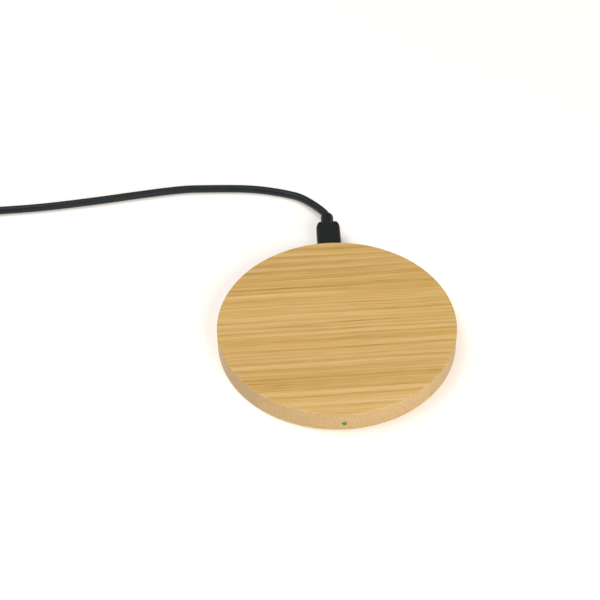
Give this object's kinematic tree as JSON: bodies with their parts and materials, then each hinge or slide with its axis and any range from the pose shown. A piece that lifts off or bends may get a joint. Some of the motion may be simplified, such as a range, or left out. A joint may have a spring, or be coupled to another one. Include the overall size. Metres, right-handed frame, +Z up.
{
  "type": "wireless charging pad",
  "caption": "Round bamboo wireless charging pad with a charging light in its rim and a detachable black cable, stored in a tied coil.",
  "frame": {"origin": "centre of the round pad, on the surface that its feet stand on", "axes": "+Z up through the phone rest face; +Y from the centre towards the cable inlet; the charging light is at -Y; the wood's fibres run along X"},
  "size_m": [0.259, 0.1488, 0.0098],
  "materials": {
    "bamboo": "sanded bamboo strips under clear matt oil, fibres along X",
    "base_abs": "black ABS, fine spark texture",
    "foot_silicone": "dark grey silicone, satin",
    "screw_steel": "zinc plated steel",
    "solder_mask": "green solder mask on glass epoxy",
    "plated_steel": "nickel plated sheet steel",
    "black_resin": "black moulded resin",
    "white_resin": "white moulded resin",
    "gold_plate": "gold plated contacts",
    "led_white": "clear resin over a green chip",
    "green_light": "green light pipe, lit",
    "tape_white": "double-sided tissue tape",
    "enamel_copper": "enamelled stranded copper wire",
    "ferrite": "sintered ferrite, matt dark grey",
    "capacitor_ceramic": "tan ceramic with tinned ends",
    "cable_pvc": "black overmoulded PVC, satin",
    "cord_pvc": "black PVC jacket, soft sheen",
    "tie_nylon": "black woven hook-and-loop tie"
  },
  "bodies": {
    "pad": {"bamboo_body": "bamboo", "base_cover": "base_abs", "foot_1": "foot_silicone", "foot_2": "foot_silicone", "foot_3": "foot_silicone", "foot_4": "foot_silicone", "base_screws": "screw_steel", "pcb": "solder_mask", "pcb_screws": "screw_steel", "usb_socket_shell": "plated_steel", "usb_socket_tongue": "black_resin", "usb_socket_contacts": "gold_plate", "indicator_led": "led_white", "light_pipe": "green_light", "coil_tape": "tape_white", "charging_coil": "enamel_copper", "ferrite_plate": "ferrite", "coil_leads": "enamel_copper", "thermistor": "black_resin", "controller_chip": "black_resin", "bridge_chips": "black_resin", "resonant_capacitors": "capacitor_ceramic", "filter_capacitors": "capacitor_ceramic", "chip_resistors": "black_resin", "input_choke": "ferrite", "crystal": "plated_steel"},
    "cable": {"plug_grip": "cable_pvc", "plug_shell": "plated_steel", "plug_insert": "black_resin", "plug_contacts": "gold_plate", "plug_latches": "plated_steel", "cord": "cord_pvc", "cord_coil": "cord_pvc", "cord_tie": "tie_nylon", "cord_tail": "cord_pvc", "usb_a_grip": "cable_pvc", "usb_a_shell": "plated_steel", "usb_a_insert": "white_resin", "usb_a_contacts": "gold_plate"}
  },
  "joints": [
    {"name": "plug_slide", "type": "slide", "parent": "pad", "child": "cable", "axis": [0, 1, 0], "range_m": [0, 0.015]}
  ]
}
